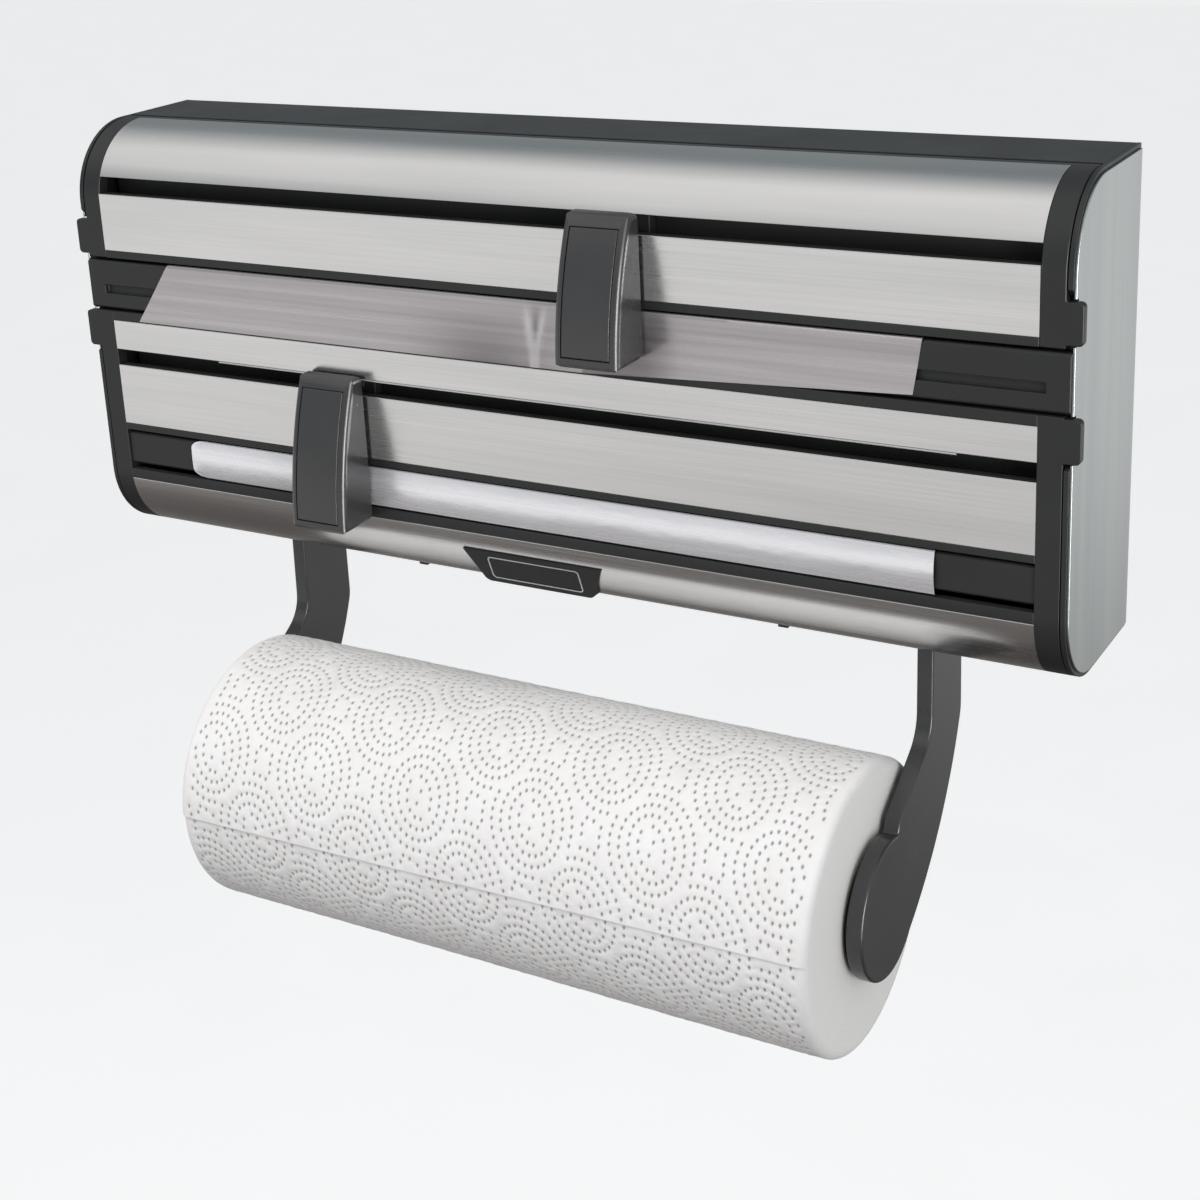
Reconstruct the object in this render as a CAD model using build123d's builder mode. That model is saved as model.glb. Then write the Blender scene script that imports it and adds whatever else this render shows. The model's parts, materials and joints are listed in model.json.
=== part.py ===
from build123d import *
import os

# Three-in-one wall roll holder: cling film behind the upper flap, foil behind the lower flap,
# kitchen roll on two swan-neck arms below. Millimetres. X runs along the width, +Y points into
# the wall, +Z is up. The origin is the centre of the wall-screw pattern on the back face.

os.makedirs("parts", exist_ok=True)

# ---- driving dimensions ----
HALF_WIDTH = 192.0          # outer face of the end cheeks
HALF_HEIGHT = 81.5
FRONT = -67.5               # Y of the flat front plane
ROUND = 28.0                # radius of the top-front and bottom-front corners
ROUND_Y = FRONT + ROUND     # Y of both corner centres
ROUND_Z = HALF_HEIGHT - ROUND
METAL_HALF = 182.2          # half length of the steel bands
FRAME_HALF = 190.1          # outer face of a flap's end frames
SHEET = 1.2                 # steel sheet thickness
BACKING = 2.0               # plastic behind a curved sheet
FRAME_DEPTH = 5.0           # radial depth of a flap's end frame
WALL = 3.0                  # shelf, divider and spine wall
PANEL_T = 4.0               # back panel

CHEEK_INNER = 186.0
RIM_INNER = 190.5
SKIN_T = 0.8
SKIN_INSET = 1.4

# Heights of the bands on the front, from top to bottom
A_LOW = 63.5
B_TOP = 57.3
B_LOW = 35.4
UPPER_LIP = 32.5
BEAM_TOP = 31.3
BEAM_LOW = 12.4
LOWER_TOP = 11.5
C_TOP = 7.9
C_LOW = -3.7
D_TOP = -9.9
D_LOW = -33.7
D_LIP = -36.3
BAR_TOP = -37.5
BAR_LOW = -50.5
E_LIP = -52.5
E_TOP = -56.4

# Hinges: a barrel along the rear edge of each flap
BARREL_R = 2.5
BARREL_Y = ROUND_Y + BARREL_R
BARREL_Z = HALF_HEIGHT - BARREL_R
HINGE_PIN_R = 1.2
PIN_BORE_R = 1.25
PIN_BORE_DEPTH = 8.0
SHELF_FRONT = BARREL_Y + BARREL_R + 0.4
PIN_LENGTH = 8.0
HINGE_BOSS_R = 3.4          # room around the barrel in the cheeks' inner wall

# Cutting beam between the flaps
BEAM_BACK = -58.0
NOTCH_BACK = FRONT + 3.8    # depth of the notch in the cheeks' rims
GROOVE_HALF = 184.5
GROOVE_D = 2.0
GROOVE_Z = (18.4, 21.8)
DIVIDER_Z = 20.0

# Grip tabs at the outer corners of the flaps
TAB_OUT = 195.5
TAB_BACK = FRONT + 3.2
UPPER_TAB = (33.6, 46.9)
LOWER_TAB = (-3.0, 11.0)

# Sliding cutters
KNOB_W = 24.0
KNOB_TOP_OUT = 8.0          # stands out of the front plane at its top
KNOB_LOW_OUT = 19.0         # and at its foot
KNOB_BULGE = 2.2
KNOB_SHOULDER = 2.6         # from the knob's top down to the start of its front
KNOB_TOE = 1.6              # from its foot up to the end of its front
KNOB_BEVEL = 1.6            # bevels round its top and foot
KNOB_CORNER = 2.6           # rounding of its four corners, seen from the front
KNOB_GAP = 1.3              # between the knob's rear face and the front plane
KNOB_EDGE = 2.4             # rounding of the front's long edges
NECK_HALF = 2.0             # half height of the neck in the slot
SHOE_HALF = (12.0, 5.0)     # half length and half height of the shoe
SHOE_NECK = 7.0
BLADE_HALF = 7.0
BLADE_ROOT = FRONT - 9.0
BLADE_T = 0.6
BLADE_TIP = FRONT - 0.95
UPPER_SLOT = (A_LOW + B_TOP) / 2
LOWER_SLOT = (C_LOW + D_TOP) / 2
# name, X, slot height, top, foot and blade height of each cutter
CUTTERS = (
    ("upper", 38.0, UPPER_SLOT, 65.2, 15.6, 20.1),
    ("lower", -77.5, LOWER_SLOT, -1.8, -57.4, -46.0),
)
INLAY_HALF = 9.2
INLAY_DEPTH = 1.2
INLAY_GAP = 0.35
INLAY_END = 1.8             # from the ends of the knob's front to the inlay
INLAY_SAG = 0.85            # the inlay's share of the front's bulge
SHOE_FRONT = -60.8
SHOE_BACK = -56.4
FACE_BACKING = 3.0
CHANNEL_FRONT = FRONT + SHEET + FACE_BACKING
CHANNEL_BACK = -54.5
CHANNEL_T = 1.5
CHANNEL_BELOW = 7.0
# name, slot height, reach above it and front of the top wall of each slide channel
CHANNELS = (
    ("upper", UPPER_SLOT, 9.0, -58.5),
    ("lower", LOWER_SLOT, 7.0, CHANNEL_FRONT),
)

# Rolls
ROLL_AXIS_Y = -30.0
FILM_AXIS_Z = 50.5
FOIL_AXIS_Z = -24.0
FILM_HALF = 150.0
CORE_HALF = 152.0
CORE_INNER_R = 15.0
CORE_OUTER_R = 17.0
FILM_R = 21.0
FOIL_R = 20.0
BRACKET_HALF_H = 12.0
BRACKET_FRONT = -46.0
SPIGOT_R = 14.9
SPIGOT_INNER = 138.0
BRACKET_INNER = 153.5
BRACKET_OUTER = 157.0

# Kitchen roll and arms
KITCHEN_Y = -70.0
KITCHEN_Z = -168.5
KITCHEN_R = 52.0
KITCHEN_HALF = 128.0
KITCHEN_CORE_OUTER = 21.5
KITCHEN_CORE_INNER = 20.0
HUB_R = 19.9
HUB_INNER = 115.0
ARM_INNER = 130.0
ARM_T = 6.0
ARM_TOP = -HALF_HEIGHT - 0.4
ARM_REAR = -2.0
ARM_FRONT = -30.0
PAD_R = 25.0
FOOT_INNER = 75.0
FOOT_T = 2.6
FOOT_REAR = -5.0
FOOT_FRONT = -27.0
GUIDE_INNER = 84.0
GUIDE_OUTER = 127.0
HUB_CHAMFER = 2.0
HUB_WALL = 2.5
SHOULDER_R = 3.0            # rounding of the paper roll's ends
ARM_BEND_Z = -122.0         # the arm is straight down to here, then leans forward
ARM_NICK = (-60.0, -138.5)  # Y and Z of the notch where the arm meets its pad
ARM_BEND_R = 14.0
ARM_SAG = 6.5               # bow of the arm's rear edge
PAD_Y = -69.0
PAD_Z = -167.0
PAD_REAR = (PAD_Y + 17.5, PAD_Z - 17.8)     # where the rear edge meets the pad
PAD_TOP = (PAD_Y + 7.0, PAD_Z + 24.0)       # where the notch meets the pad
HOOK_DROP = 9.0
HOOK_Y = (-23.0, -15.0)
HOOK_T = 4.0
GUIDE_LIP = 1.6
GUIDE_WALL = 3.0

# Rail lip in the lower slot and the blank badge under it
RAIL_LIP_X = (-132.0, 157.0)
RAIL_LIP_H = 0.7
BAR_RECESS = 1.0
BAR_BACK = -62.5
BADGE_TOP = (-66.4, -63.3)      # Y and Z of its front face's top edge
BADGE_FOOT = (-61.0, -76.8)     # and of its foot
BADGE_TOP_HALF = 28.5
BADGE_FOOT_HALF = 22.0
BADGE_DEPTH = 8.0             # from its foot back into the band
BADGE_CORNER = 3.0

# Loose ends of the film and the foil
TAIL_T = 0.4
FILM_TAIL_TOP = (-152.0, 146.0)     # X of its two upper corners
FILM_TAIL_LOW = (-169.0, 143.0)     # X of its two lower corners
FILM_TAIL_FOOT = (8.4, 13.6)        # and their heights
FOIL_TAIL_X = (-150.5, 150.0)
TAIL_TUCK = -60.0           # how far back the tails reach under the flaps' lips

# Wall screws
SCREW_DX = 340.0
SCREW_DZ = 110.0
SCREW_HOLE_R = 2.5


def save(piece, name):
    """Label a finished piece and write it to its own file."""
    piece.part.label = name
    export_step(piece.part, f"parts/{name}.step")


def block(x, y, z, mode=Mode.ADD):
    """Box between two X, two Y and two Z limits, in the part being built."""
    centre = ((x[0] + x[1]) / 2, (y[0] + y[1]) / 2, (z[0] + z[1]) / 2)
    with Locations(centre):
        return Box(x[1] - x[0], y[1] - y[0], z[1] - z[0], mode=mode)


def side_profile(inset):
    """Y-Z outline of the housing, drawn in by `inset` all round."""
    radius = ROUND - inset
    top = HALF_HEIGHT - inset
    with BuildSketch() as outline:
        with BuildLine():
            Line((-inset, -top), (-inset, top))
            Line((-inset, top), (ROUND_Y, top))
            JernArc((ROUND_Y, top), (-1, 0), radius, 90)
            Line((FRONT + inset, ROUND_Z), (FRONT + inset, -ROUND_Z))
            JernArc((FRONT + inset, -ROUND_Z), (0, -1), radius, 90)
            Line((ROUND_Y, -top), (-inset, -top))
        make_face()
    return outline.sketch


def round_band(outer, inner, flat_end, cut=None):
    """Y-Z section of a layer of the top-front corner, between two depths under the skin.

    It starts over the hinge, follows the corner and ends on the flat front at height `flat_end`;
    `cut` trims it off higher up.
    """
    with BuildSketch() as section:
        with BuildLine():
            JernArc((ROUND_Y, HALF_HEIGHT - outer), (-1, 0), ROUND - outer, 90)
            Line((FRONT + outer, ROUND_Z), (FRONT + outer, flat_end))
            Line((FRONT + outer, flat_end), (FRONT + inner, flat_end))
            Line((FRONT + inner, flat_end), (FRONT + inner, ROUND_Z))
            JernArc((FRONT + inner, ROUND_Z), (0, 1), ROUND - inner, -90)
            Line((ROUND_Y, HALF_HEIGHT - inner), (ROUND_Y, HALF_HEIGHT - outer))
        make_face()
        if cut is not None:
            with Locations((FRONT, cut - HALF_HEIGHT)):
                Rectangle(4 * ROUND, 2 * HALF_HEIGHT, mode=Mode.SUBTRACT)
    return section.sketch


def barrel_section():
    """Hinge barrel along the upper flap, with the web that joins it to the band, in Y-Z."""
    web = SHEET + BACKING
    with BuildSketch() as section:
        with Locations((BARREL_Y, BARREL_Z)):
            Circle(BARREL_R)
        with Locations(((ROUND_Y + BARREL_Y) / 2, HALF_HEIGHT - web / 2)):
            Rectangle(BARREL_R, web)
    return section.sketch


def upside_down(section):
    """The same section for the lower flap."""
    return section.mirror(Plane.XZ)


def knob_side(slot, top, foot):
    """Side outline of a cutter knob with its neck in the slot, in Y-Z."""
    rear = FRONT - KNOB_GAP
    neck_y = FRONT + 1.0
    front_top = (FRONT - KNOB_TOP_OUT, top - KNOB_SHOULDER)
    front_foot = (FRONT - KNOB_LOW_OUT, foot + KNOB_TOE)
    with BuildSketch() as outline:
        with BuildLine():
            SagittaArc(front_top, front_foot, -KNOB_BULGE)
            Polyline(
                front_foot,
                (front_foot[0] + KNOB_BEVEL, foot),
                (rear - KNOB_BEVEL, foot),
                (rear, foot + 2 * KNOB_BEVEL),
                (rear, slot - NECK_HALF),
                (neck_y, slot - NECK_HALF),
                (neck_y, slot + NECK_HALF),
                (rear, slot + NECK_HALF),
                (rear, top - KNOB_BEVEL / 2),
                (rear - KNOB_BEVEL, top),
                (front_top[0] + KNOB_BEVEL, top - KNOB_BEVEL / 2),
                front_top,
            )
        make_face()
    return outline.sketch


def inlay_side(top, foot, gap):
    """Side outline of the panel let into a knob's front, smaller by `gap`, in Y-Z."""
    front_top = Vector(FRONT - KNOB_TOP_OUT, top - KNOB_SHOULDER)
    front_foot = Vector(FRONT - KNOB_LOW_OUT, foot + KNOB_TOE)
    along = (front_foot - front_top).normalized()
    inward = Vector(-along.Y, along.X)
    start = front_top + along * (INLAY_END + gap)
    end = front_foot - along * (INLAY_END + gap)
    depth = inward * (INLAY_DEPTH - gap)
    out = inward * -KNOB_BULGE
    with BuildSketch() as outline:
        with BuildLine():
            Polyline(start + depth, start + out, end + out, end + depth)
            SagittaArc(end + depth, start + depth, KNOB_BULGE * INLAY_SAG)
        make_face()
    return outline.sketch


# ---- fixed housing ----
with BuildPart() as back_panel:
    block((-RIM_INNER, RIM_INNER), (-PANEL_T, 0), (-HALF_HEIGHT + WALL, HALF_HEIGHT - WALL))
    with Locations(Plane.XZ):
        with GridLocations(SCREW_DX, SCREW_DZ, 2, 2):
            Cylinder(SCREW_HOLE_R, 4 * PANEL_T, mode=Mode.SUBTRACT)
save(back_panel, "back_panel")

with BuildPart() as top_shelf:
    block((-RIM_INNER, RIM_INNER), (SHELF_FRONT, 0), (HALF_HEIGHT - WALL, HALF_HEIGHT))
save(top_shelf, "top_shelf")

with BuildPart() as bottom_shelf:
    block((-RIM_INNER, RIM_INNER), (SHELF_FRONT, 0), (-HALF_HEIGHT, WALL - HALF_HEIGHT))
save(bottom_shelf, "bottom_shelf")

with BuildPart() as divider_shelf:
    block((-CHEEK_INNER, CHEEK_INNER), (BEAM_BACK, -PANEL_T), (DIVIDER_Z - WALL, DIVIDER_Z))
save(divider_shelf, "divider_shelf")

# The film is laid over this beam and the blade runs in its groove.
with BuildPart() as cutting_beam:
    block((-HALF_WIDTH, HALF_WIDTH), (FRONT, NOTCH_BACK), (BEAM_LOW, BEAM_TOP))
    block((-CHEEK_INNER, CHEEK_INNER), (NOTCH_BACK, BEAM_BACK), (BEAM_LOW + 1.0, BEAM_TOP - 1.0))
    block((-GROOVE_HALF, GROOVE_HALF), (FRONT, FRONT + GROOVE_D), GROOVE_Z, Mode.SUBTRACT)
    front_edges = cutting_beam.edges().filter_by(Axis.X).group_by(Axis.Y)[0]
    chamfer(front_edges.sort_by(Axis.Z)[-1], 0.8)
    chamfer(front_edges.sort_by(Axis.Z)[0], 0.8)
save(cutting_beam, "cutting_beam")

# End cheek: a thin rim with the full outline and a thicker wall inside the flaps.
with BuildPart() as right_cheek:
    with BuildSketch(Plane.YZ.offset(RIM_INNER)):
        add(side_profile(0))
        with BuildLine():
            Polyline(
                (FRONT - 1.0, UPPER_TAB[1] + 4.6),
                (NOTCH_BACK, UPPER_TAB[1] + 0.4),
                (NOTCH_BACK, LOWER_TAB[0] - 0.5),
                (FRONT - 1.0, LOWER_TAB[0] - 2.5),
                close=True,
            )
        make_face(mode=Mode.SUBTRACT)
    extrude(amount=HALF_WIDTH - RIM_INNER)
    with BuildSketch(Plane.YZ.offset(CHEEK_INNER)):
        add(side_profile(FRAME_DEPTH + 0.4))
        Rectangle(2 * PANEL_T, 4 * HALF_HEIGHT, mode=Mode.SUBTRACT)
        with Locations((BARREL_Y, BARREL_Z), (BARREL_Y, -BARREL_Z)):
            Circle(HINGE_BOSS_R, mode=Mode.SUBTRACT)
    extrude(amount=RIM_INNER - CHEEK_INNER)
    with Locations(Plane.YZ):
        with Locations((BARREL_Y, BARREL_Z), (BARREL_Y, -BARREL_Z)):
            Cylinder(HINGE_PIN_R, 3 * HALF_WIDTH, mode=Mode.SUBTRACT)
save(right_cheek, "right_cheek")

with BuildPart() as left_cheek:
    mirror(right_cheek.part, about=Plane.YZ)
save(left_cheek, "left_cheek")

# Brushed side skin, let down inside the dark rim.
with BuildPart() as right_side_panel:
    with BuildSketch(Plane.YZ.offset(HALF_WIDTH)):
        add(side_profile(SKIN_INSET))
        for tab in (UPPER_TAB, LOWER_TAB):
            with Locations((FRONT, (tab[0] + tab[1]) / 2)):
                Rectangle(2 * (NOTCH_BACK - FRONT), tab[1] - tab[0] + 1.2, mode=Mode.SUBTRACT)
    extrude(amount=SKIN_T)
save(right_side_panel, "right_side_panel")

with BuildPart() as left_side_panel:
    mirror(right_side_panel.part, about=Plane.YZ)
save(left_side_panel, "left_side_panel")

# Steel pins, fixed in the cheeks, that the flaps turn on.
with BuildPart() as hinge_pins:
    with Locations(Plane.YZ):
        for end in (-1, 1):
            pin_x = end * (HALF_WIDTH - PIN_LENGTH / 2)
            with Locations((BARREL_Y, BARREL_Z, pin_x), (BARREL_Y, -BARREL_Z, pin_x)):
                Cylinder(HINGE_PIN_R, PIN_LENGTH)
save(hinge_pins, "hinge_pins")

# ---- upper flap: lifts on the barrel along its rear edge ----
with BuildPart() as upper_hinge_barrel:
    with BuildSketch(Plane.YZ.offset(-FRAME_HALF)):
        add(barrel_section())
    extrude(amount=2 * FRAME_HALF)
    with Locations(Plane.YZ):
        for end in (-1, 1):
            with Locations((BARREL_Y, BARREL_Z, end * (FRAME_HALF - PIN_BORE_DEPTH / 2))):
                Cylinder(PIN_BORE_R, PIN_BORE_DEPTH, mode=Mode.SUBTRACT)
save(upper_hinge_barrel, "upper_hinge_barrel")

with BuildPart() as upper_flap_right_frame:
    with BuildSketch(Plane.YZ.offset(METAL_HALF)):
        add(round_band(0, FRAME_DEPTH, UPPER_LIP))
    extrude(amount=FRAME_HALF - METAL_HALF)
    with BuildSketch(Plane.XZ.offset(-TAB_BACK)):
        with Locations(((FRAME_HALF + TAB_OUT) / 2 - 1.0, sum(UPPER_TAB) / 2)):
            RectangleRounded(TAB_OUT - FRAME_HALF + 2.0, UPPER_TAB[1] - UPPER_TAB[0], 1.6)
    extrude(amount=TAB_BACK - FRONT)
save(upper_flap_right_frame, "upper_flap_right_frame")

with BuildPart() as upper_flap_left_frame:
    mirror(upper_flap_right_frame.part, about=Plane.YZ)
save(upper_flap_left_frame, "upper_flap_left_frame")

# Curved steel band over its plastic backing, down to the cutter slot.
with BuildPart() as upper_curved_panel:
    with BuildSketch(Plane.YZ.offset(-METAL_HALF)):
        add(round_band(0, SHEET, UPPER_LIP, A_LOW))
    extrude(amount=2 * METAL_HALF)
save(upper_curved_panel, "upper_curved_panel")

with BuildPart() as upper_curved_backing:
    with BuildSketch(Plane.YZ.offset(-METAL_HALF)):
        add(round_band(SHEET, SHEET + BACKING, UPPER_LIP, A_LOW))
    extrude(amount=2 * METAL_HALF)
save(upper_curved_backing, "upper_curved_backing")

with BuildPart() as upper_face_panel:
    block((-METAL_HALF, METAL_HALF), (FRONT, FRONT + SHEET), (B_LOW, B_TOP))
save(upper_face_panel, "upper_face_panel")

# Backing of the flat band, with the dark lip under it.
with BuildPart() as upper_face_backing:
    block((-METAL_HALF, METAL_HALF), (FRONT + SHEET, CHANNEL_FRONT), (UPPER_LIP, B_TOP))
    block((-METAL_HALF, METAL_HALF), (FRONT, FRONT + SHEET), (UPPER_LIP, B_LOW))
save(upper_face_backing, "upper_face_backing")


# ---- slide channels and the cutters that run in them ----
for name, slot, reach, top_front in CHANNELS:
    length = (-METAL_HALF, METAL_HALF)
    floor = slot - CHANNEL_BELOW
    roof = slot + reach
    with BuildPart() as channel:
        block(length, (CHANNEL_BACK - CHANNEL_T, CHANNEL_BACK), (floor, roof))
        block(length, (CHANNEL_FRONT, CHANNEL_BACK), (floor, floor + CHANNEL_T))
        block(length, (top_front, CHANNEL_BACK), (roof - CHANNEL_T, roof))
    save(channel, f"{name}_slide_channel")

for name, x, slot, top, foot, blade_z in CUTTERS:
    with BuildPart() as shell:
        with BuildSketch(Plane.YZ.offset(x - KNOB_W / 2)):
            add(knob_side(slot, top, foot))
        extrude(amount=KNOB_W)
        for beside in ((x - KNOB_W, x - SHOE_NECK), (x + SHOE_NECK, x + KNOB_W)):
            room = (slot - 2 * NECK_HALF, slot + 2 * NECK_HALF)
            block(beside, (FRONT - KNOB_GAP, 0), room, Mode.SUBTRACT)
        long_edges = shell.edges().filter_by(GeomType.CIRCLE).filter_by(lambda e: e.length > 30)
        fillet(long_edges, KNOB_EDGE)
        with BuildSketch(Plane.XZ):
            with Locations((x, (top + foot) / 2)):
                RectangleRounded(KNOB_W, top - foot, KNOB_CORNER)
        extrude(amount=-2 * FRONT, mode=Mode.INTERSECT)
        with BuildSketch(Plane.YZ.offset(x - INLAY_HALF)):
            add(inlay_side(top, foot, 0))
        extrude(amount=2 * INLAY_HALF, mode=Mode.SUBTRACT)
        block(
            (x - BLADE_HALF, x + BLADE_HALF),
            (BLADE_ROOT, 0),
            (blade_z - BLADE_T / 2, blade_z + BLADE_T / 2),
            Mode.SUBTRACT,
        )
    save(shell, f"{name}_cutter_shell")

    with BuildPart() as inlay:
        with BuildSketch(Plane.YZ.offset(x - INLAY_HALF + INLAY_GAP)):
            add(inlay_side(top, foot, INLAY_GAP))
        extrude(amount=2 * (INLAY_HALF - INLAY_GAP))
        with BuildSketch(Plane.YZ.offset(x - KNOB_W / 2)):
            add(knob_side(slot, top, foot))
        extrude(amount=KNOB_W, mode=Mode.INTERSECT)
    save(inlay, f"{name}_cutter_inlay")

    with BuildPart() as shoe:
        block(
            (x - SHOE_HALF[0], x + SHOE_HALF[0]),
            (SHOE_FRONT, SHOE_BACK),
            (slot - SHOE_HALF[1], slot + SHOE_HALF[1]),
        )
        block(
            (x - SHOE_NECK, x + SHOE_NECK),
            (FRONT + 1.0, SHOE_FRONT),
            (slot - NECK_HALF, slot + NECK_HALF),
        )
    save(shoe, f"{name}_cutter_shoe")

    with BuildPart() as blade:
        with BuildSketch(Plane.XY.offset(blade_z - BLADE_T / 2)):
            with BuildLine():
                Polyline(
                    (x - BLADE_HALF, BLADE_ROOT),
                    (x - BLADE_HALF, BLADE_TIP - 3.0),
                    (x, BLADE_TIP),
                    (x + BLADE_HALF, BLADE_TIP - 3.0),
                    (x + BLADE_HALF, BLADE_ROOT),
                    close=True,
                )
            make_face()
        extrude(amount=BLADE_T)
    save(blade, f"{name}_cutter_blade")

# ---- lower flap: folds down on the barrel along its bottom edge ----
with BuildPart() as lower_hinge_barrel:
    mirror(upper_hinge_barrel.part, about=Plane.XY)
save(lower_hinge_barrel, "lower_hinge_barrel")

with BuildPart() as lower_flap_right_frame:
    with BuildSketch(Plane.YZ.offset(METAL_HALF)):
        add(upside_down(round_band(0, FRAME_DEPTH, -LOWER_TOP)))
    extrude(amount=FRAME_HALF - METAL_HALF)
    with BuildSketch(Plane.XZ.offset(-TAB_BACK)):
        with Locations(((FRAME_HALF + TAB_OUT) / 2 - 1.0, sum(LOWER_TAB) / 2)):
            RectangleRounded(TAB_OUT - FRAME_HALF + 2.0, LOWER_TAB[1] - LOWER_TAB[0], 1.6)
    extrude(amount=TAB_BACK - FRONT)
save(lower_flap_right_frame, "lower_flap_right_frame")

with BuildPart() as lower_flap_left_frame:
    mirror(lower_flap_right_frame.part, about=Plane.YZ)
save(lower_flap_left_frame, "lower_flap_left_frame")

with BuildPart() as lower_top_panel:
    block((-METAL_HALF, METAL_HALF), (FRONT, FRONT + SHEET), (C_LOW, C_TOP))
save(lower_top_panel, "lower_top_panel")

with BuildPart() as lower_top_backing:
    block((-METAL_HALF, METAL_HALF), (FRONT + SHEET, CHANNEL_FRONT), (C_LOW, LOWER_TOP))
    block((-METAL_HALF, METAL_HALF), (FRONT, FRONT + SHEET), (C_TOP, LOWER_TOP))
save(lower_top_backing, "lower_top_backing")

with BuildPart() as lower_rail_lip:
    block(RAIL_LIP_X, (FRONT, FRONT + SHEET), (C_LOW - RAIL_LIP_H, C_LOW))
save(lower_rail_lip, "lower_rail_lip")

with BuildPart() as lower_face_panel:
    block((-METAL_HALF, METAL_HALF), (FRONT, FRONT + SHEET), (D_LOW, D_TOP))
save(lower_face_panel, "lower_face_panel")

with BuildPart() as lower_face_backing:
    block((-METAL_HALF, METAL_HALF), (FRONT + SHEET, CHANNEL_FRONT), (D_LIP, D_TOP))
    block((-METAL_HALF, METAL_HALF), (FRONT, FRONT + SHEET), (D_LIP, D_LOW))
save(lower_face_backing, "lower_face_backing")

# The foil is laid over this bar, set back a little between the lip and the curved band.
with BuildPart() as foil_bar:
    block((-METAL_HALF, METAL_HALF), (FRONT + BAR_RECESS, BAR_BACK), (BAR_LOW, BAR_TOP))
    front_edges = foil_bar.edges().filter_by(Axis.X).group_by(Axis.Y)[0]
    chamfer(front_edges, 0.8)
save(foil_bar, "foil_bar")

with BuildPart() as lower_curved_panel:
    with BuildSketch(Plane.YZ.offset(-METAL_HALF)):
        add(upside_down(round_band(0, SHEET, -LOWER_TOP, -E_TOP)))
    extrude(amount=2 * METAL_HALF)
save(lower_curved_panel, "lower_curved_panel")

# Backing of the bottom band, with the dark lip over it.
with BuildPart() as lower_curved_backing:
    with BuildSketch(Plane.YZ.offset(-METAL_HALF)):
        add(upside_down(round_band(0, SHEET + BACKING, -LOWER_TOP, -E_LIP)))
        add(upside_down(round_band(0, SHEET, -LOWER_TOP, -E_TOP)), mode=Mode.SUBTRACT)
    extrude(amount=2 * METAL_HALF)
save(lower_curved_backing, "lower_curved_backing")

# Blank badge: a wedge that stands off the bottom band and narrows downwards.
with BuildPart() as blank_badge:
    with BuildSketch(Plane.YZ.offset(-BADGE_TOP_HALF)):
        with BuildLine():
            Polyline(
                BADGE_TOP,
                BADGE_FOOT,
                (BADGE_FOOT[0] + BADGE_DEPTH, BADGE_FOOT[1]),
                (ROUND_Y, BADGE_TOP[1]),
                close=True,
            )
        make_face()
        add(side_profile(0), mode=Mode.SUBTRACT)
    extrude(amount=2 * BADGE_TOP_HALF)
    with BuildSketch(Plane.XZ):
        with BuildLine():
            Polyline(
                (-BADGE_TOP_HALF, BADGE_TOP[1]),
                (BADGE_TOP_HALF, BADGE_TOP[1]),
                (BADGE_FOOT_HALF, BADGE_FOOT[1]),
                (-BADGE_FOOT_HALF, BADGE_FOOT[1]),
                close=True,
            )
        make_face()
        fillet(vertices().group_by(Axis.Y)[0], BADGE_CORNER)
    extrude(amount=-2 * FRONT, mode=Mode.INTERSECT)
save(blank_badge, "blank_badge")

# ---- rolls in the housing, turning on spigots ----
for name, axis_z in (("film", FILM_AXIS_Z), ("foil", FOIL_AXIS_Z)):
    with BuildPart() as brackets:
        for side in (-1, 1):
            plate_x = sorted((side * BRACKET_INNER, side * BRACKET_OUTER))
            plate_z = (axis_z - BRACKET_HALF_H, axis_z + BRACKET_HALF_H)
            block(plate_x, (BRACKET_FRONT, -PANEL_T), plate_z)
            spigot_x = side * (SPIGOT_INNER + BRACKET_INNER) / 2
            with Locations(Plane.YZ):
                with Locations((ROLL_AXIS_Y, axis_z, spigot_x)):
                    Cylinder(SPIGOT_R, BRACKET_INNER - SPIGOT_INNER)
    save(brackets, f"{name}_roll_brackets")

for name, axis_z, radius in (("film", FILM_AXIS_Z, FILM_R), ("foil", FOIL_AXIS_Z, FOIL_R)):
    with BuildPart() as core:
        with BuildSketch(Plane.YZ.offset(-CORE_HALF)):
            with Locations((ROLL_AXIS_Y, axis_z)):
                Circle(CORE_OUTER_R)
                Circle(CORE_INNER_R, mode=Mode.SUBTRACT)
        extrude(amount=2 * CORE_HALF)
    save(core, f"{name}_roll_core")

    with BuildPart() as winding:
        with BuildSketch(Plane.YZ.offset(-FILM_HALF)):
            with Locations((ROLL_AXIS_Y, axis_z)):
                Circle(radius)
                Circle(CORE_OUTER_R, mode=Mode.SUBTRACT)
        extrude(amount=2 * FILM_HALF)
    save(winding, f"{name}_roll_winding")

# Loose end of the film, down over the cutting beam; its ends are torn askew.
with BuildPart() as film_tail:
    tail_front = FRONT - 0.1 - TAIL_T
    tail_top = BEAM_TOP + 0.2 + TAIL_T
    with BuildSketch(Plane.XZ.offset(-tail_front - TAIL_T)):
        with BuildLine():
            Polyline(
                (FILM_TAIL_TOP[0], tail_top),
                (FILM_TAIL_TOP[1], tail_top),
                (FILM_TAIL_LOW[1], FILM_TAIL_FOOT[1]),
                (FILM_TAIL_LOW[0], FILM_TAIL_FOOT[0]),
                close=True,
            )
        make_face()
    extrude(amount=TAIL_T)
    block(FILM_TAIL_TOP, (tail_front, TAIL_TUCK), (tail_top - TAIL_T, tail_top))
save(film_tail, "film_tail")

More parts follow.
